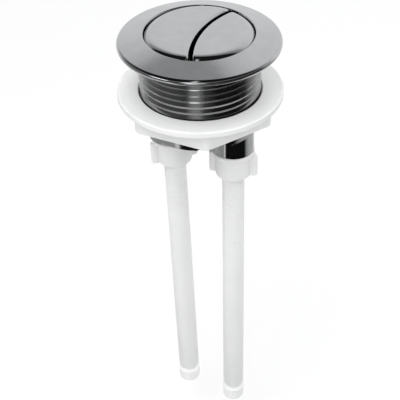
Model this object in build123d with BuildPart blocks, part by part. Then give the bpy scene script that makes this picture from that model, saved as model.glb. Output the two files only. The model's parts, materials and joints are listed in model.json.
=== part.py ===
"""Push button cistern actuator with two flush buttons.

Millimetres, +Z up. The origin is the centre of the bezel's underside, the face
that sits on the cistern lid. The half flush side is on +X, the full flush side on -X.
"""
from math import asin, atan2, cos, hypot, radians, sin, sqrt, tan
import os

from build123d import *

os.makedirs("parts", exist_ok=True)

# Bezel
bezel_r = 36.75
bezel_rim_r = 1.6
bezel_rim_z = 1.45
opening_r = 24.85
opening_z = 6.05
opening_lip = 0.6

# Barrel
barrel_wall = 2.15
neck_step = 0.15
neck_length = 5.2
thread_depth = 0.6
thread_pitch = 3.0
thread_turns = 9.6
thread_start = 6.6
thread_width = 2.7
thread_crest_drop = 0.95
thread_crest_round = 0.2
thread_sink = 0.15
barrel_length = 39.5
barrel_chamfer = 0.7
floor_depth = 20.0
floor_thick = 2.5
notch_middle = 306.25
notch_width = 16.1
notch_height = 6.5

# Rods
rod_r = 5.3
rod_fit = 0.06
rod_engagement = 23.7
rod_length = 185.2
rod_lead = 0.8
rod_neck_r = 4.3
rod_neck_length = 1.2
rod_shoulder = 1.2
rod_foot_r = 5.5
rod_foot_length = 8.6
rod_foot_round = 2.2

# Stems
stem_wall = 0.94
stem_socket_depth = 37.7
post_r = 4.0
post_length = 4.8
stem_flange_thick = 2.2

# Guide tubes
tube_play = 1.75
tube_wall = 1.5
tube_end_z = -51.7

# Lean of the full flush side, taking up the play at the end of its guide tube
pivot_z = 1.0
lean_heading = 46.0
lean_clearance = 0.08
seat_gap = 0.04

# Springs
spring_wire = 1.1
spring_turns = 5.0
floor_hole_clearance = 0.15
spring_side_gap = 0.55

# Buttons
button_gap = 0.35
button_crown_z = 7.5
button_dome_r = 400.0
button_roll_r = 5.0
button_edge_slope = 54.0
button_side = 3.75
button_wall = 1.5
button_under_drop = 1.0
button_corner = 1.8
button_edge = 1.2
split_r = 57.5
split_middle_x = 1.15
split_middle_y = -1.75
split_gap = 1.6
socket_wall = 1.6

# Wing nuts
collar_rim_r = 10.0
collar_rim_height = 2.6
collar_rim_round = 0.9
collar_cup_r = 8.35
collar_cup_round = 0.6
collar_height = 13.6
wing_reach = 11.5
wing_thick = 3.6
wing_height = 11.0
wing_round = 0.7
half_wing_turn = 8.5
full_wing_turn = 40.5

# Back nut
nut_drop = 22.2
nut_clearance = 0.3
nut_wall = 2.6
nut_flange_width = 7.25
nut_flange_thick = 3.2
nut_height = 11.7
nut_corner_round = 4.0
nut_lead_in = 0.5
nut_edge = 0.8
nut_turn = -3.9

# Sizes that follow from the ones above
rim_centre_r = bezel_r - bezel_rim_r
seat_end_r = rim_centre_r + sqrt(bezel_rim_r**2 - bezel_rim_z**2)
crown_start_r = opening_r + opening_lip
crown_run = rim_centre_r - crown_start_r
crown_fall = opening_z - bezel_rim_z
crown_slope = atan2(crown_fall, crown_run) - asin(bezel_rim_r / hypot(crown_run, crown_fall))
shoulder_r = rim_centre_r + bezel_rim_r * sin(crown_slope)
shoulder_z = bezel_rim_z + bezel_rim_r * cos(crown_slope)

thread_root_r = opening_r + barrel_wall
thread_crest_r = thread_root_r + thread_depth
neck_r = thread_root_r + neck_step
barrel_end_z = -barrel_length
floor_top_z = -floor_depth
floor_bottom_z = floor_top_z - floor_thick

stem_thread_r = rod_r + rod_fit
stem_r = stem_thread_r + stem_wall
tube_bore_r = stem_r + tube_play
tube_r = tube_bore_r + tube_wall

tilt = atan2(tube_play - lean_clearance, pivot_z - tube_end_z)
lean_drop = tube_r * sin(tilt) + seat_gap
floor_hole_r = stem_r + (pivot_z - floor_bottom_z) * tan(tilt) + floor_hole_clearance
spring_mean_r = floor_hole_r + spring_wire / 2
stem_flange_r = spring_mean_r + spring_wire / 2
axis_x = opening_r - spring_side_gap - stem_flange_r

button_r = opening_r - button_gap
edge_slope = radians(button_edge_slope)
roll_centre_r = button_r - button_roll_r * sin(edge_slope)
dome_slope = asin(roll_centre_r / (button_dome_r - button_roll_r))
dome_centre_z = button_crown_z - button_dome_r
dome_end_r = button_dome_r * sin(dome_slope)
dome_end_z = dome_centre_z + button_dome_r * cos(dome_slope)
roll_centre_z = dome_centre_z + (button_dome_r - button_roll_r) * cos(dome_slope)
roll_end_r = roll_centre_r + button_roll_r
button_edge_z = roll_centre_z + button_roll_r * cos(edge_slope)
button_bottom_z = button_edge_z - button_side
button_under_z = button_edge_z - button_under_drop
split_centre_x = split_middle_x + split_r
socket_r = post_r + socket_wall
post_top_z = button_under_z
post_bottom_z = post_top_z - post_length
stem_flange_bottom_z = post_bottom_z - stem_flange_thick

wing_root_r = (stem_thread_r + collar_cup_r) / 2
wing_middle_r = (wing_root_r + wing_reach) / 2
rod_top_z = tube_end_z + rod_engagement
rod_end_z = rod_top_z - rod_length
rod_foot_z = rod_end_z + rod_foot_length

nut_bore_r = thread_crest_r + nut_clearance
nut_inradius = nut_bore_r + nut_wall
nut_flange_r = nut_inradius + nut_flange_width
nut_top_z = -nut_drop
nut_bottom_z = nut_top_z - nut_height
nut_flange_bottom_z = nut_top_z - nut_flange_thick

# Local frames of the two push axes
heading = radians(lean_heading)
full_up = Vector(-sin(tilt) * cos(heading), -sin(tilt) * sin(heading), cos(tilt))
full_origin = Vector(-axis_x, 0, pivot_z) - full_up * lean_drop
full_axis = Plane(origin=full_origin, x_dir=Vector(1, 0, 0) - full_up * full_up.X, z_dir=full_up)
half_axis = Plane(origin=(axis_x, 0, pivot_z), x_dir=(1, 0, 0), z_dir=(0, 0, 1))


def turning_plane(frame):
    """Plane through a push axis: first direction radial, second along the axis."""
    return Plane(origin=frame.origin, x_dir=frame.x_dir, z_dir=-frame.y_dir)


def axis_of(frame):
    return Axis(frame.origin, frame.z_dir)


def local(z):
    """Height along a push axis, measured from its pivot."""
    return z - pivot_z


# Body: bezel, threaded barrel, floor and guide tubes in one moulding
with BuildPart() as body:
    with BuildSketch(Plane.XZ):
        with BuildLine():
            seat = Line((neck_r, 0), (seat_end_r, 0))
            rim = ThreePointArc(seat @ 1, (bezel_r, bezel_rim_z), (shoulder_r, shoulder_z))
            crown = Line(rim @ 1, (crown_start_r, opening_z))
            lip = RadiusArc(crown @ 1, (opening_r, opening_z - opening_lip), -opening_lip)
            Polyline(
                lip @ 1,
                (opening_r, floor_top_z),
                (0, floor_top_z),
                (0, floor_bottom_z),
                (opening_r, floor_bottom_z),
                (opening_r, barrel_end_z),
                (thread_root_r - barrel_chamfer, barrel_end_z),
                (thread_root_r, barrel_end_z + barrel_chamfer),
                (thread_root_r, -neck_length),
                (neck_r, -neck_length + neck_step),
                (neck_r, 0),
            )
        make_face()
    revolve(axis=Axis.Z)
    with BuildSketch(Plane.XY.offset(floor_top_z - floor_thick / 2)):
        with Locations((axis_x, 0), (-axis_x, 0)):
            Circle(tube_r)
    extrude(amount=tube_end_z - floor_top_z + floor_thick / 2)
    with BuildSketch(Plane.XY.offset(tube_end_z)):
        with Locations((axis_x, 0), (-axis_x, 0)):
            Circle(tube_bore_r)
    extrude(amount=floor_bottom_z - tube_end_z, mode=Mode.SUBTRACT)
    with BuildSketch(Plane.XY.offset(floor_bottom_z)):
        with Locations((axis_x, 0), (-axis_x, 0)):
            Circle(floor_hole_r)
    extrude(amount=floor_thick, mode=Mode.SUBTRACT)
    notch_turn = radians(notch_middle)
    with BuildSketch(Plane(origin=(0, 0, barrel_end_z), x_dir=(cos(notch_turn), sin(notch_turn), 0))):
        with Locations((thread_root_r, 0)):
            Rectangle(2 * (barrel_wall + thread_depth), notch_width)
    extrude(amount=notch_height, mode=Mode.SUBTRACT)
    with BuildLine():
        ridge = Helix(
            pitch=thread_pitch,
            height=thread_pitch * thread_turns,
            radius=thread_root_r - thread_sink,
            center=(0, 0, -thread_start - thread_pitch * thread_turns),
        )
    with BuildSketch(Plane(origin=ridge @ 0, x_dir=(1, 0, 0), z_dir=ridge % 0)) as tooth:
        with BuildLine():
            Polyline(
                (0, -thread_width / 2),
                (thread_sink + thread_depth, thread_crest_drop),
                (0, thread_width / 2),
                close=True,
            )
        make_face()
        fillet(tooth.vertices().sort_by(Axis.X)[-1], radius=thread_crest_round)
    sweep(path=ridge, is_frenet=True)
body.part.label = "body"
export_step(body.part, "parts/body.step")

# Back nut: rounded flange, hexagon and a plain bore that clears the thread crest
with BuildPart() as back_nut:
    with BuildSketch(Plane.XZ) as section:
        with BuildLine():
            Polyline(
                (nut_bore_r + nut_lead_in, nut_top_z),
                (nut_flange_r, nut_top_z),
                (nut_flange_r, nut_flange_bottom_z),
                (nut_bore_r, nut_flange_bottom_z),
                (nut_bore_r, nut_top_z - nut_lead_in),
                close=True,
            )
        make_face()
        fillet(section.vertices().group_by(Axis.X)[-1], radius=nut_edge)
    revolve(axis=Axis.Z)
    with BuildSketch(Plane.XY.offset(nut_bottom_z)) as hexagon:
        RegularPolygon(radius=nut_inradius, side_count=6, major_radius=False, rotation=nut_turn)
        fillet(hexagon.vertices(), radius=nut_corner_round)
    extrude(amount=nut_flange_bottom_z - nut_bottom_z)
    fillet(back_nut.faces().sort_by(Axis.Z)[0].edges(), radius=nut_edge)
    with BuildSketch(Plane.XY.offset(nut_bottom_z)):
        Circle(nut_bore_r)
    extrude(amount=nut_flange_bottom_z - nut_bottom_z, mode=Mode.SUBTRACT)
back_nut.part.label = "back_nut"
export_step(back_nut.part, "parts/back_nut.step")

# Full flush button: domed cap with a rolled edge and the concave split edge, on the leaning axis.
# Half flush button: smaller cap of the same dome with the convex split edge.
buttons = [
    ("full_flush_button", full_axis, axis_x, split_r + split_gap / 2, button_wall, Mode.SUBTRACT),
    ("half_flush_button", half_axis, -axis_x, split_r - split_gap / 2, -button_wall, Mode.INTERSECT),
]
for name, frame, centre_x, edge_r, edge_wall, side_of_split in buttons:
    with BuildPart() as button:
        with BuildSketch(frame.offset(local(button_bottom_z))) as outline:
            with Locations((centre_x, 0)):
                Circle(button_r)
            with Locations((centre_x + split_centre_x, split_middle_y)):
                Circle(edge_r, mode=side_of_split)
            fillet(outline.vertices(), radius=button_corner)
        extrude(amount=button_crown_z - button_bottom_z)
        cap = Plane(frame.location * Location((centre_x, 0, 0)))
        with BuildSketch(turning_plane(cap)):
            with BuildLine():
                crown = (0, local(button_crown_z))
                dome = RadiusArc(crown, (dome_end_r, local(dome_end_z)), button_dome_r)
                roll = RadiusArc(dome @ 1, (roll_end_r, local(roll_centre_z)), button_roll_r)
                Polyline(roll @ 1, (roll_end_r, local(button_bottom_z)), (0, local(button_bottom_z)), crown)
            make_face()
        revolve(axis=axis_of(cap), mode=Mode.INTERSECT)
        with BuildSketch(frame.offset(local(button_bottom_z))) as hollow:
            with Locations((centre_x, 0)):
                Circle(button_r - button_wall)
            with Locations((centre_x + split_centre_x, split_middle_y)):
                Circle(edge_r + edge_wall, mode=side_of_split)
            fillet(hollow.vertices(), radius=button_corner)
        extrude(amount=button_under_z - button_bottom_z, mode=Mode.SUBTRACT)
        with BuildSketch(frame.offset(local(post_bottom_z))):
            Circle(socket_r)
            Circle(post_r, mode=Mode.SUBTRACT)
        extrude(amount=post_length)
        dome_face = button.faces().sort_by(Axis.Z)[-1]
        fillet(dome_face.edges().filter_by(GeomType.BSPLINE), radius=button_edge)
    button.part.label = name
    export_step(button.part, f"parts/{name}.step")

# Stem: post, flange, guide and threaded socket turned about the push axis
stem_socket_top_z = tube_end_z + stem_socket_depth
for name, frame in (("full_flush_stem", full_axis), ("half_flush_stem", half_axis)):
    with BuildPart() as stem:
        with BuildSketch(turning_plane(frame)):
            with BuildLine():
                Polyline(
                    (0, local(post_top_z)),
                    (post_r, local(post_top_z)),
                    (post_r, local(post_bottom_z)),
                    (stem_flange_r, local(post_bottom_z)),
                    (stem_flange_r, local(stem_flange_bottom_z)),
                    (stem_r, local(stem_flange_bottom_z)),
                    (stem_r, local(tube_end_z)),
                    (stem_thread_r, local(tube_end_z)),
                    (stem_thread_r, local(stem_socket_top_z)),
                    (0, local(stem_socket_top_z)),
                    close=True,
                )
            make_face()
        revolve(axis=axis_of(frame))
    stem.part.label = name
    export_step(stem.part, f"parts/{name}.step")

# Return spring between the barrel floor and the stem flange, shorter under the leaning flange
half_spring_rise = stem_flange_bottom_z - floor_top_z - spring_wire
full_spring_rise = half_spring_rise - lean_drop - stem_flange_r * sin(tilt)
springs = [
    ("full_flush_spring", -axis_x, full_spring_rise),
    ("half_flush_spring", axis_x, half_spring_rise),
]
for name, spring_x, spring_rise in springs:
    with BuildPart() as spring:
        with BuildLine():
            coil = Helix(
                pitch=spring_rise / spring_turns,
                height=spring_rise,
                radius=spring_mean_r,
                center=(spring_x, 0, floor_top_z + spring_wire / 2),
            )
        with BuildSketch(Plane(origin=coil @ 0, x_dir=(1, 0, 0), z_dir=coil % 0)):
            Circle(spring_wire / 2)
        sweep(path=coil, is_frenet=True)
    spring.part.label = name
    export_step(spring.part, f"parts/{name}.step")

# Wing nut: two wings, flush with the end of a cup that has a rounded rim
collar_top = local(tube_end_z)
wing_nuts = [
    ("full_flush_wing_nut", full_axis, full_wing_turn),
    ("half_flush_wing_nut", half_axis, half_wing_turn),
]
for name, frame, wing_turn in wing_nuts:
    with BuildPart() as wing_nut:
        with BuildSketch(frame.offset(collar_top - collar_height)):
            with PolarLocations(wing_middle_r, 2, start_angle=wing_turn):
                SlotOverall(wing_reach - wing_root_r, wing_thick)
        extrude(amount=wing_height)
        wing_ends = wing_nut.faces().filter_by(axis_of(frame))
        fillet(wing_ends.edges(), radius=wing_round)
        with BuildSketch(turning_plane(frame)) as section:
            with BuildLine():
                Polyline(
                    (stem_thread_r, collar_top),
                    (collar_rim_r, collar_top),
                    (collar_rim_r, collar_top - collar_rim_height),
                    (collar_cup_r, collar_top - collar_rim_height),
                    (collar_cup_r, collar_top - collar_height),
                    (stem_thread_r, collar_top - collar_height),
                    close=True,
                )
            make_face()
            fillet(section.vertices().group_by(Axis.X)[-1], radius=collar_rim_round)
            fillet(section.vertices().sort_by(Axis.Y)[:2].sort_by(Axis.X)[-1], radius=collar_cup_round)
        revolve(axis=axis_of(frame))
    wing_nut.part.label = name
    export_step(wing_nut.part, f"parts/{name}.step")

# Push rod: lead-in, shaft at the thread's crest, neck and rounded foot
for name, frame in (("full_flush_rod", full_axis), ("half_flush_rod", half_axis)):
    with BuildPart() as rod:
        with BuildSketch(turning_plane(frame)):
            with BuildLine():
                shaft = Polyline(
                    (0, local(rod_top_z)),
                    (rod_r - rod_lead, local(rod_top_z)),
                    (rod_r, local(rod_top_z) - rod_lead),
                    (rod_r, local(rod_foot_z) + rod_neck_length + rod_shoulder),
                    (rod_neck_r, local(rod_foot_z) + rod_neck_length),
                    (rod_neck_r, local(rod_foot_z)),
                    (rod_foot_r, local(rod_foot_z) - rod_shoulder),
                    (rod_foot_r, local(rod_end_z) + rod_foot_round),
                )
                foot_edge = (rod_foot_r - rod_foot_round, local(rod_end_z))
                toe = RadiusArc(shaft @ 1, foot_edge, rod_foot_round)
                Polyline(toe @ 1, (0, local(rod_end_z)), shaft @ 0)
            make_face()
        revolve(axis=axis_of(frame))
    rod.part.label = name
    export_step(rod.part, f"parts/{name}.step")
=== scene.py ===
"""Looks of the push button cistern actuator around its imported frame. Metres, +Z up."""
import json
import math

import bpy
from mathutils import Matrix, Vector

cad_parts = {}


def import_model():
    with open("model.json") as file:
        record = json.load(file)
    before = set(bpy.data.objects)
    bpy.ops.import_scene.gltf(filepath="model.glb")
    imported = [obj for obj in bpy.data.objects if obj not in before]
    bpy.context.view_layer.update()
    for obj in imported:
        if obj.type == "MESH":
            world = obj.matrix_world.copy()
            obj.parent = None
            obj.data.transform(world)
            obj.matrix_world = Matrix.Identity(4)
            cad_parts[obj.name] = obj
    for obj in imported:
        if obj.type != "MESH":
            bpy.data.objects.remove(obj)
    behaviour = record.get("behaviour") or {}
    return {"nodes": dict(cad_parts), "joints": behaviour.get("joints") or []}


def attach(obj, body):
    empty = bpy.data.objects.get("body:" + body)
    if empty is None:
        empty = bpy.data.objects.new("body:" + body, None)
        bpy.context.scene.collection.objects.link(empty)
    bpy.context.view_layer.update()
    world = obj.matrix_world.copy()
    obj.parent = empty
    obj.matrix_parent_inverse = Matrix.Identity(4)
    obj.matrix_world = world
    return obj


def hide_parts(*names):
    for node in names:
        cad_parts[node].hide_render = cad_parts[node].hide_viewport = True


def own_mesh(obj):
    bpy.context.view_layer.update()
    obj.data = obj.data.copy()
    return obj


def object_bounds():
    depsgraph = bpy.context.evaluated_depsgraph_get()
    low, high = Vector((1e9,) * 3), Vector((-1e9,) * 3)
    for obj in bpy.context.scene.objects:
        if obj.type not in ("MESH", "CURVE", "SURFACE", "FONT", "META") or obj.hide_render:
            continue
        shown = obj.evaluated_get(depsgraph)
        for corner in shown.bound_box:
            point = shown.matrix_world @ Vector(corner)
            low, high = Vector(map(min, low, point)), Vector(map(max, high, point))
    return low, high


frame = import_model()
cad_low, cad_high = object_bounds()
nodes = frame["nodes"]

MM = 0.001
SIDES = ("full_flush", "half_flush")

# Camera fitted to the photograph: a square frame, turned about the object and tilted down
VIEW_TURN = math.radians(22.5)
CAMERA_SIDE = -1.16 * MM
CAMERA_BACK = 470.4 * MM
CAMERA_HEIGHT = 266.95 * MM
CAMERA_DOWN = math.radians(36.90)
CAMERA_ROLL = math.radians(-1.167)
CAMERA_NEAR = 10.0 * MM
SENSOR = 36.0
FRAME_PIXELS = 400.0
FOCAL_PIXELS = 1214.7

# Fine thread moulded on the upper part of each rod, with heights along the rod
THREAD_PITCH = 1.5 * MM
THREAD_DEPTH = 0.16 * MM
THREAD_END = -106.0 * MM
THREAD_FADE = 2.0 * THREAD_PITCH
RINGS_PER_PITCH = 12
ROD_SIDES = 72
ROD_SHARP = math.radians(40)
# Digits that a ring of the solid rod is rounded to, and the share of the crest that its shaft reaches
RING_DIGITS = 6
SHAFT_SHARE = 0.99

# First turn of the barrel thread, from where the solid's own thread ends up to its run-out on the neck
LEAD_PITCH = 3.0 * MM
LEAD_START_Z = -6.6 * MM
LEAD_START_TURN = math.radians(216)
LEAD_TURNS = 0.8
LEAD_FADE_TURNS = 0.3
LEAD_END_SHARE = 0.02
LEAD_STEPS = 200
LEAD_SHARP = math.radians(10)
LEAD_ROOT_R = 26.85 * MM
# Its tooth, as points out from the root and up from the helix
LEAD_TOP = (0.0, 1.35 * MM)
LEAD_CREST = (0.75 * MM, -0.95 * MM)
LEAD_FOOT = (0.166 * MM, -1.27 * MM)
LEAD_LIP = ((0.154 * MM, -1.72 * MM), (0.0, -1.74 * MM))
LEAD_ROUND = 0.2 * MM
LEAD_ROUND_STEPS = 10

# Finishes: colours and roughness as two ends, noise as features per metre and detail
CHROME_BRIGHT = ((0.535, 0.545, 0.560), (0.575, 0.580, 0.590))
# Darker copy of the chrome colour, used on the body below the rim: painted shade
CHROME_PAINTED_SHADE = ((0.300, 0.305, 0.310), (0.350, 0.352, 0.350))
CHROME_ROUGH = (0.045, 0.085)
CHROME_HAZE = (170, 4)
CHROME_WAVES = (90, 1)
CHROME_WAVE_HEIGHT = 0.06 * MM
# Heights on the body over which the painted shade on the barrel gives way to the plain chrome of the rim
PAINTED_SHADE_EDGE = (0.2 * MM, 1.2 * MM)
PLASTIC_TONE = ((0.780, 0.784, 0.782), (0.805, 0.806, 0.803))
PLASTIC_ROUGH = (0.36, 0.46)
PLASTIC_MOTTLE = (55, 4)
PLASTIC_SKIN = (900, 3)
PLASTIC_SKIN_HEIGHT = 0.04 * MM
PLASTIC_IOR = 1.49
PLASTIC_SPECULAR = 0.35
STEEL_TONE = ((0.42, 0.42, 0.43), (0.56, 0.56, 0.57))
STEEL_ROUGH = (0.22, 0.36)
STEEL_LINES = (300, 3)
STEEL_LINE_STRETCH = (1, 1, 9)
STEEL_LINE_HEIGHT = 0.02 * MM
# Part of the noise's range that is spread between the two ends
NOISE_SPAN = (0.35, 0.65)

# Stage: floor, surround and lamps
WHITE = (1, 1, 1, 1)
WHITE_STRENGTH = 1.0
FLOOR_GAP = 0.3 * MM
FLOOR_HALF = 4.0
FLOOR_TONE = (0.75, 0.75, 0.75, 1)
# Share of plain white in the floor near the object, and the distances over which it grows to all
FLOOR_GLOW = 0.50
FLOOR_FADE = (0.3, 1.2)
WORLD_TINT = (0.97, 0.98, 1.0, 1)
WORLD_LIGHT = 0.30
LAMP_SIZE = (1.5, 1.0)
LAMP_DISTANCE = 1.2
# Lamps: name, turn from the camera's side, height angle and watts
LAMPS = (
    ("front_high", 0, 58, 8.0),
    ("left_high", -80, 62, 10.0),
    ("right_back", 130, 50, 10.0),
    ("front_low", 0, 25, 3.0),
)

# Tent that the chrome mirrors: a ball round the origin, widened low down to take in the rods' feet
TENT_R = 0.205
TENT_LOW_R = 0.228
TENT_DARK = 0.012
# Angles on the tent, in degrees: turn from the camera's side, right positive, and rise above the horizon
TENT_STEP = 2.0
TENT_WIDER = (-50, -75)
# Crown: light behind and above the object, by how far back the tent lies and a share of how far right
CROWN_SIDE = 0.27
CROWN_LIGHT = (
    (-1.00, TENT_DARK),
    (0.08, TENT_DARK),
    (0.22, 0.36),
    (0.34, 0.40),
    (0.41, 0.63),
    (0.52, 0.76),
    (0.70, 0.85),
    (1.00, 0.88),
)
# Upright strip above the camera: level, middle and width by turn, and its soft ends by rise
STRIP_LEVEL = 0.8
STRIP_TURN = (-8, 4)
STRIP_TOP = (75, 60)
STRIP_BOTTOM = (14, 20)
# Level band round the front: level, middle and width by rise, and its soft ends by turn
BAND_LEVEL = 0.40
BAND_RISE = (16, 4)
BAND_ENDS = (125, 105)
# Glints that the rim mirrors: middle and width by rise, and light by turn
RIM_RISE = (9, 3)
RIM_LIGHT = (
    (-64, 0.0),
    (-58, 4.0),
    (-42, 4.0),
    (-36, 0.0),
    (-24, 0.0),
    (-20, 2.5),
    (-16, 6.0),
    (-12, 6.0),
    (-8, 2.5),
    (4, 2.0),
    (9, 0.0),
)
# Light by turn in the low zones that the thread's flanks, the neck, the thread's roots and the tubes mirror
FLANK_LIGHT = (
    (-180, 0.85),
    (-122, 0.85),
    (-95, 0.28),
    (-70, 0.15),
    (-25, 0.10),
    (-13, 0.45),
    (-4, 0.45),
    (6, 0.10),
    (25, 0.02),
    (62, 0.015),
    (78, 0.05),
    (95, 0.42),
    (113, 0.90),
    (180, 0.85),
)
NECK_LIGHT = (
    (-180, 0.85),
    (-140, 0.50),
    (-106, 0.30),
    (-55, 0.30),
    (-35, 0.06),
    (-15, 0.02),
    (70, 0.012),
    (106, 0.28),
    (150, 0.75),
    (180, 0.85),
)
ROOT_LIGHT = (
    (-180, 0.85),
    (-140, 0.50),
    (-106, 0.45),
    (-37, 0.42),
    (-22, 0.50),
    (-15, 2.80),
    (-7, 2.80),
    (0, 0.90),
    (12, 0.40),
    (47, 0.15),
    (82, 0.10),
    (106, 0.28),
    (150, 0.75),
    (180, 0.85),
)
TUBE_LIGHT = (
    (-180, 0.90),
    (-70, 0.65),
    (-50, 0.60),
    (-47, 1.30),
    (-42, 1.30),
    (-37, 0.012),
    (62, 0.012),
    (74, 0.60),
    (90, 0.95),
    (180, 0.95),
)
# Low zones from the top down: the rise where each starts, the rise where it is full, and its light
LOW_ZONES = (
    (5, 2, FLANK_LIGHT),
    (-22, -27, NECK_LIGHT),
    (-29.9, -30.3, ROOT_LIGHT),
    (-35, -37.5, TUBE_LIGHT),
)


def joint(name):
    """A joint of the frame by its name."""
    return next(j for j in frame["joints"] if j["name"] == name)


def full_travel(name):
    """How far a sliding joint goes from rest to its upper limit."""
    return joint(name)["range_m"][1]


def add_object(name, data):
    """A new object in the scene."""
    obj = bpy.data.objects.new(name, data)
    bpy.context.scene.collection.objects.link(obj)
    return obj


def new_mesh(name, vertices, faces):
    """A new smooth-shaded mesh object."""
    mesh = bpy.data.meshes.new(name)
    mesh.from_pydata(vertices, [], faces)
    mesh.validate()
    mesh.polygons.foreach_set("use_smooth", [True] * len(mesh.polygons))
    return add_object(name, mesh)


def grid_faces(rings, width, closed):
    """Faces between neighbouring rings of points, each ring joined end to end if closed."""
    faces = []
    for ring in range(rings - 1):
        near = ring * width
        far = near + width
        for step in range(width if closed else width - 1):
            after = (step + 1) % width
            faces.append((near + step, near + after, far + after, far + step))
    return faces


def shader_nodes(name):
    """A new material with its node tree and Principled shader."""
    material = bpy.data.materials.new(name)
    material.use_nodes = True
    tree = material.node_tree
    shader = next(n for n in tree.nodes if n.type == "BSDF_PRINCIPLED")
    return material, tree, shader


def empty_tree(owner, output):
    """The emptied node tree of a material or world, and the surface socket of its new output."""
    owner.use_nodes = True
    tree = owner.node_tree
    tree.nodes.clear()
    return tree, tree.nodes.new(output).inputs["Surface"]


def noise(tree, scale, detail, stretch=(1, 1, 1)):
    """Noise over the object's own coordinates, stretched along an axis if asked."""
    place = tree.nodes.new("ShaderNodeTexCoord")
    mapping = tree.nodes.new("ShaderNodeMapping")
    mapping.inputs["Scale"].default_value = stretch
    texture = tree.nodes.new("ShaderNodeTexNoise")
    texture.inputs["Scale"].default_value = scale
    texture.inputs["Detail"].default_value = detail
    tree.links.new(place.outputs["Object"], mapping.inputs["Vector"])
    tree.links.new(mapping.outputs["Vector"], texture.inputs["Vector"])
    return texture.outputs["Fac"]


def ramp(tree, value, low, high, span=NOISE_SPAN):
    """A level that goes from low to high while the value crosses its span."""
    node = tree.nodes.new("ShaderNodeMapRange")
    node.inputs["From Min"].default_value = span[0]
    node.inputs["From Max"].default_value = span[1]
    node.inputs["To Min"].default_value = low
    node.inputs["To Max"].default_value = high
    tree.links.new(value, node.inputs["Value"])
    return node.outputs["Result"]


def tint(tree, value, colours):
    """A colour between two colours, by noise."""
    node = tree.nodes.new("ShaderNodeValToRGB")
    for stop, place, colour in zip(node.color_ramp.elements, NOISE_SPAN, colours):
        stop.position = place
        stop.color = (*colour, 1)
    tree.links.new(value, node.inputs["Fac"])
    return node.outputs["Color"]


def height_mask(tree, span):
    """0 below one height of the object's own frame and 1 above another."""
    place = tree.nodes.new("ShaderNodeTexCoord")
    parts = tree.nodes.new("ShaderNodeSeparateXYZ")
    tree.links.new(place.outputs["Object"], parts.inputs["Vector"])
    return ramp(tree, parts.outputs["Z"], 0.0, 1.0, span)


def bump(tree, value, height):
    """Fine relief of the given height."""
    node = tree.nodes.new("ShaderNodeBump")
    node.inputs["Distance"].default_value = height
    tree.links.new(value, node.inputs["Height"])
    return node.outputs["Normal"]


def chrome():
    """Bright chrome plating over moulded plastic, slightly wavy and hazy, with painted shade: a darker
    colour below the rim.
    """
    material, tree, shader = shader_nodes("chrome_plating")
    haze = noise(tree, *CHROME_HAZE)
    # Painted shade: below the rim the base colour turns to the darker copy of the chrome
    unshaded_share = height_mask(tree, PAINTED_SHADE_EDGE)
    bright = tint(tree, haze, CHROME_BRIGHT)
    painted_shade = tint(tree, haze, CHROME_PAINTED_SHADE)
    tone = tree.nodes.new("ShaderNodeMix")
    tone.data_type = "RGBA"
    tree.links.new(unshaded_share, tone.inputs["Factor"])
    tree.links.new(painted_shade, tone.inputs["A"])
    tree.links.new(bright, tone.inputs["B"])
    tree.links.new(tone.outputs["Result"], shader.inputs["Base Color"])
    tree.links.new(ramp(tree, haze, *CHROME_ROUGH), shader.inputs["Roughness"])
    waves = noise(tree, *CHROME_WAVES)
    tree.links.new(bump(tree, waves, CHROME_WAVE_HEIGHT), shader.inputs["Normal"])
    shader.inputs["Metallic"].default_value = 1.0
    return material


def white_plastic():
    """Moulded white plastic: soft gloss, faint mottle and a fine moulded skin."""
    material, tree, shader = shader_nodes("white_plastic")
    mottle = noise(tree, *PLASTIC_MOTTLE)
    tree.links.new(tint(tree, mottle, PLASTIC_TONE), shader.inputs["Base Color"])
    skin = noise(tree, *PLASTIC_SKIN)
    tree.links.new(ramp(tree, skin, *PLASTIC_ROUGH), shader.inputs["Roughness"])
    tree.links.new(bump(tree, skin, PLASTIC_SKIN_HEIGHT), shader.inputs["Normal"])
    shader.inputs["IOR"].default_value = PLASTIC_IOR
    shader.inputs["Specular IOR Level"].default_value = PLASTIC_SPECULAR
    return material


def spring_steel():
    """Drawn steel wire with fine lines along the coil."""
    material, tree, shader = shader_nodes("spring_steel")
    lines = noise(tree, *STEEL_LINES, STEEL_LINE_STRETCH)
    tree.links.new(tint(tree, lines, STEEL_TONE), shader.inputs["Base Color"])
    tree.links.new(ramp(tree, lines, *STEEL_ROUGH), shader.inputs["Roughness"])
    tree.links.new(bump(tree, lines, STEEL_LINE_HEIGHT), shader.inputs["Normal"])
    shader.inputs["Metallic"].default_value = 1.0
    return material


def dress(node, material):
    """Gives a carried-over solid its finish."""
    mesh = nodes[node].data
    mesh.materials.clear()
    mesh.materials.append(material)


def coil_spring(side, material):
    """Return spring under its button: the solid's own coil, copied onto the body with a mesh of its own."""
    spring = add_object(f"{side}_coil_spring", nodes[f"{side}_spring"].data.copy())
    spring.data.materials.clear()
    spring.data.materials.append(material)
    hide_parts(f"{side}_spring")
    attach(spring, "actuator_body")
    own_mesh(spring)


def rounded_tooth():
    """Section of the first tooth: flank, rounded crest, foot and a narrow lip on the root."""
    crest = Vector(LEAD_CREST)
    to_top = (Vector(LEAD_TOP) - crest).normalized()
    to_foot = (Vector(LEAD_FOOT) - crest).normalized()
    half_angle = to_top.angle(to_foot) / 2
    centre = crest + (to_top + to_foot).normalized() * LEAD_ROUND / math.sin(half_angle)
    first = crest + to_top * LEAD_ROUND / math.tan(half_angle) - centre
    last = crest + to_foot * LEAD_ROUND / math.tan(half_angle) - centre
    shares = [step / LEAD_ROUND_STEPS for step in range(LEAD_ROUND_STEPS + 1)]
    arc = [centre + first.slerp(last, share) * LEAD_ROUND for share in shares]
    return [LEAD_TOP, *arc, LEAD_FOOT, *LEAD_LIP]


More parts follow.
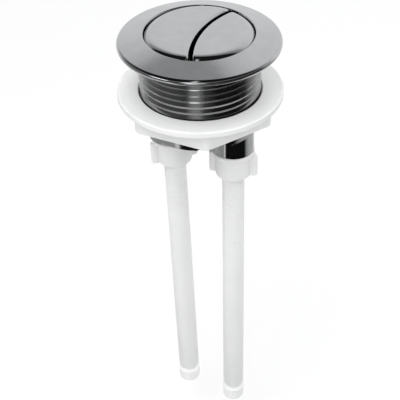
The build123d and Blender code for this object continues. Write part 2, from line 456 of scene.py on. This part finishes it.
def thread_lead(material):
    """First turn of the barrel's thread, above the solid's own, running out into the neck."""
    section = rounded_tooth()
    vertices = []
    for step in range(LEAD_STEPS + 1):
        turns = LEAD_TURNS * step / LEAD_STEPS
        angle = LEAD_START_TURN + math.tau * turns
        height = LEAD_START_Z + LEAD_PITCH * turns
        fade = max(LEAD_END_SHARE, min(1.0, (LEAD_TURNS - turns) / LEAD_FADE_TURNS))
        for out, up in section:
            r = LEAD_ROOT_R + out * fade
            vertices.append((r * math.cos(angle), r * math.sin(angle), height + up))
    count = len(section)
    start = tuple(range(count - 1, -1, -1))
    end = tuple(range(LEAD_STEPS * count, (LEAD_STEPS + 1) * count))
    faces = [start, end, *grid_faces(LEAD_STEPS + 1, count, closed=True)]
    lead = new_mesh("barrel_thread_lead", vertices, faces)
    lead.data.set_sharp_from_angle(angle=LEAD_SHARP)
    lead.data.materials.append(material)
    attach(lead, "actuator_body")


def rod_axis(side):
    """Direction up the rod, two across it, and its axis's nearest point to the origin."""
    up = -Vector(joint(f"{side}_rod_adjust")["axis"]).normalized()
    across = up.orthogonal().normalized()
    away = up.cross(across)
    points = [v.co for v in nodes[f"{side}_rod"].data.vertices]
    middle = Vector()
    for direction in (across, away):
        reach = [p.dot(direction) for p in points]
        middle += direction * (min(reach) + max(reach)) / 2
    return up, across, away, middle


def rod_outline(side, up, middle):
    """Rings of the solid rod from the top down, as (height, radius)."""
    rings = set()
    for vertex in nodes[f"{side}_rod"].data.vertices:
        height = vertex.co.dot(up)
        radius = (vertex.co - middle - up * height).length
        rings.add((round(height, RING_DIGITS), round(radius, RING_DIGITS)))
    return sorted(rings, reverse=True)


def rod_profile(outline):
    """Rings of the threaded rod from the top down, as (height, radius, share of the thread's depth)."""
    crest = max(radius for height, radius in outline if height > THREAD_END)
    shaft_top = max(height for height, radius in outline if radius > SHAFT_SHARE * crest)
    profile = [(height, radius, 0.0) for height, radius in outline if height >= shaft_top]
    count = round((shaft_top - THREAD_END) / THREAD_PITCH * RINGS_PER_PITCH)
    for step in range(1, count + 1):
        height = shaft_top - step * THREAD_PITCH / RINGS_PER_PITCH
        fade = min(1.0, (shaft_top - height) / THREAD_FADE, (height - THREAD_END) / THREAD_FADE)
        profile.append((height, crest, max(0.0, fade)))
    profile += [(height, radius, 0.0) for height, radius in outline if height < THREAD_END]
    return profile


def threaded_rod(side, material):
    """Push rod with its fine thread: the solid's own outline, with a helical groove cut below the crest."""
    up, across, away, middle = rod_axis(side)
    profile = rod_profile(rod_outline(side, up, middle))
    vertices = []
    for height, radius, fade in profile:
        for step in range(ROD_SIDES):
            turn = math.tau * step / ROD_SIDES
            wave = 0.5 - 0.5 * math.cos(math.tau * height / THREAD_PITCH + turn)
            r = radius - THREAD_DEPTH * fade * wave
            vertices.append(middle + up * height + (across * math.cos(turn) + away * math.sin(turn)) * r)
    last = (len(profile) - 1) * ROD_SIDES
    top = tuple(range(ROD_SIDES))
    foot = tuple(range(last + ROD_SIDES - 1, last - 1, -1))
    # The rings run down the rod, so its walls are turned over to face out
    walls = [(a, d, c, b) for a, b, c, d in grid_faces(len(profile), ROD_SIDES, closed=True)]
    rod = new_mesh(f"{side}_threaded_rod", vertices, [top, *walls, foot])
    rod.data.set_sharp_from_angle(angle=ROD_SHARP)
    rod.data.materials.append(material)
    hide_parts(f"{side}_rod")
    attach(rod, f"{side}_push_rod")


def seen_mix(tree, hidden, shown):
    """Shows one shader to camera, glossy and transmission rays, and another to the rest."""
    path = tree.nodes.new("ShaderNodeLightPath")
    seen = path.outputs["Is Camera Ray"]
    for ray in ("Is Glossy Ray", "Is Transmission Ray"):
        either = tree.nodes.new("ShaderNodeMath")
        either.operation = "MAXIMUM"
        tree.links.new(seen, either.inputs[0])
        tree.links.new(path.outputs[ray], either.inputs[1])
        seen = either.outputs["Value"]
    mix = tree.nodes.new("ShaderNodeMixShader")
    tree.links.new(seen, mix.inputs["Fac"])
    tree.links.new(hidden, mix.inputs[1])
    tree.links.new(shown, mix.inputs[2])
    return mix.outputs["Shader"]


def floor():
    """Plain pale floor below the rods at their longest: it keeps the soft shadow and turns white far off."""
    reach = full_travel("half_flush_press") + full_travel("half_flush_rod_adjust")
    z = cad_low.z - reach - FLOOR_GAP
    corners = [(x * FLOOR_HALF, y * FLOOR_HALF, z) for x, y in ((-1, -1), (1, -1), (1, 1), (-1, 1))]
    plane = new_mesh("floor", corners, [(0, 1, 2, 3)])
    material = bpy.data.materials.new("pale_floor")
    tree, surface = empty_tree(material, "ShaderNodeOutputMaterial")
    paint = tree.nodes.new("ShaderNodeBsdfDiffuse")
    paint.inputs["Color"].default_value = FLOOR_TONE
    glow = tree.nodes.new("ShaderNodeEmission")
    glow.inputs["Color"].default_value = WHITE
    glow.inputs["Strength"].default_value = WHITE_STRENGTH
    place = tree.nodes.new("ShaderNodeTexCoord")
    distance = tree.nodes.new("ShaderNodeVectorMath")
    distance.operation = "LENGTH"
    tree.links.new(place.outputs["Object"], distance.inputs[0])
    soft = tree.nodes.new("ShaderNodeMixShader")
    whiteness = ramp(tree, distance.outputs["Value"], FLOOR_GLOW, 1.0, FLOOR_FADE)
    tree.links.new(whiteness, soft.inputs["Fac"])
    tree.links.new(paint.outputs["BSDF"], soft.inputs[1])
    tree.links.new(glow.outputs["Emission"], soft.inputs[2])
    tree.links.new(seen_mix(tree, paint.outputs["BSDF"], soft.outputs["Shader"]), surface)
    plane.data.materials.append(material)


def world():
    """White surround for camera, glossy and transmission rays, and an even light for the rest."""
    surround = bpy.data.worlds.new("surround")
    tree, surface = empty_tree(surround, "ShaderNodeOutputWorld")
    light = tree.nodes.new("ShaderNodeBackground")
    light.inputs["Color"].default_value = WORLD_TINT
    light.inputs["Strength"].default_value = WORLD_LIGHT
    white = tree.nodes.new("ShaderNodeBackground")
    white.inputs["Color"].default_value = WHITE
    white.inputs["Strength"].default_value = WHITE_STRENGTH
    tree.links.new(seen_mix(tree, light.outputs["Background"], white.outputs["Background"]), surface)
    bpy.context.scene.world = surround


def smooth(start, end, value):
    """Rises softly from 0 at the start to 1 at the end, whichever of the two is larger."""
    share = min(1.0, max(0.0, (value - start) / (end - start)))
    return share * share * (3 - 2 * share)


def along(points, value):
    """Straight steps through (place, level) pairs."""
    if value <= points[0][0]:
        return points[0][1]
    for (x0, y0), (x1, y1) in zip(points, points[1:]):
        if value <= x1:
            return y0 + (y1 - y0) * (value - x0) / (x1 - x0)
    return points[-1][1]


def bell(value, middle, width):
    """1 at the middle, and softly down to 0 on both sides."""
    return math.exp(-(((value - middle) / width) ** 2))


def tent_light(turn, rise):
    """Light of the tent by turn and rise.

    It is white behind the object and dark above and round the camera, where narrow lights and low bands
    give the chrome the dark edges, glints and thread lines of a studio picture.
    """
    across = math.cos(math.radians(rise))
    right = across * math.sin(math.radians(turn))
    back = -across * math.cos(math.radians(turn))
    level = along(CROWN_LIGHT, back + CROWN_SIDE * right)
    level += STRIP_LEVEL * bell(turn, *STRIP_TURN) * smooth(*STRIP_TOP, rise) * smooth(*STRIP_BOTTOM, rise)
    level += along(RIM_LIGHT, turn) * bell(rise, *RIM_RISE)
    level += BAND_LEVEL * bell(rise, *BAND_RISE) * smooth(*BAND_ENDS, abs(turn))
    for start, full, light in LOW_ZONES:
        share = smooth(start, full, rise)
        level += share * (along(light, turn) - level)
    return level


def tent():
    """Round tent that only reflections see."""
    columns = round(360 / TENT_STEP)
    rows = round(180 / TENT_STEP)
    vertices = []
    levels = []
    for row in range(rows + 1):
        rise = 90 - TENT_STEP * row
        reach = TENT_R + (TENT_LOW_R - TENT_R) * smooth(*TENT_WIDER, rise)
        across = reach * math.cos(math.radians(rise))
        height = reach * math.sin(math.radians(rise))
        for column in range(columns + 1):
            turn = -180 + TENT_STEP * column
            right = across * math.sin(math.radians(turn))
            back = -across * math.cos(math.radians(turn))
            vertices.append((right, back, height))
            levels.append(tent_light(turn, rise))
    shell = new_mesh("tent", vertices, grid_faces(rows + 1, columns + 1, closed=False))
    shell_level = shell.data.attributes.new("level", "FLOAT", "POINT")
    shell_level.data.foreach_set("value", levels)
    shell.rotation_euler.z = VIEW_TURN
    material = bpy.data.materials.new("tent")
    tree, surface = empty_tree(material, "ShaderNodeOutputMaterial")
    glow = tree.nodes.new("ShaderNodeEmission")
    level = tree.nodes.new("ShaderNodeAttribute")
    level.attribute_name = "level"
    tree.links.new(level.outputs["Fac"], glow.inputs["Strength"])
    tree.links.new(glow.outputs["Emission"], surface)
    shell.data.materials.append(material)
    shell.visible_camera = False
    shell.visible_diffuse = False
    shell.visible_transmission = False
    shell.visible_shadow = False


def lamp(name, turn, rise, watts):
    """Soft panel aimed at the object, placed by its turn from the camera's side and its height angle."""
    panel = bpy.data.lights.new(name, "AREA")
    panel.shape = "RECTANGLE"
    panel.size, panel.size_y = LAMP_SIZE
    panel.energy = watts
    obj = add_object(name, panel)
    aim = (cad_low + cad_high) / 2
    heading = VIEW_TURN - math.pi / 2 + math.radians(turn)
    lift = math.radians(rise)
    offset = Vector((math.cos(heading) * math.cos(lift), math.sin(heading) * math.cos(lift), math.sin(lift)))
    obj.location = aim + offset * LAMP_DISTANCE
    obj.rotation_euler = (-offset).to_track_quat("-Z", "Y").to_euler()
    obj.visible_glossy = False


def camera():
    """Camera at the photograph's view."""
    data = bpy.data.cameras.new("camera")
    data.sensor_width = SENSOR
    data.lens = SENSOR * FOCAL_PIXELS / FRAME_PIXELS
    data.clip_start = CAMERA_NEAR
    obj = add_object("camera", data)
    place = Matrix.Translation((CAMERA_SIDE, -CAMERA_BACK, CAMERA_HEIGHT))
    tilt = Matrix.Rotation(math.pi / 2 - CAMERA_DOWN, 4, "X")
    roll = Matrix.Rotation(CAMERA_ROLL, 4, "Z")
    obj.matrix_world = Matrix.Rotation(VIEW_TURN, 4, "Z") @ place @ tilt @ roll
    bpy.context.scene.camera = obj


plating = chrome()
plastic = white_plastic()
steel = spring_steel()
dress("body", plating)
dress("back_nut", plastic)
for side in SIDES:
    dress(f"{side}_button", plating)
    dress(f"{side}_spring", steel)
    for piece in ("stem", "wing_nut", "rod"):
        dress(f"{side}_{piece}", plastic)
    threaded_rod(side, plastic)
    coil_spring(side, steel)
thread_lead(plating)

floor()
world()
tent()
for name, turn, rise, watts in LAMPS:
    lamp(name, turn, rise, watts)
camera()
bpy.context.scene.view_settings.view_transform = "Standard"
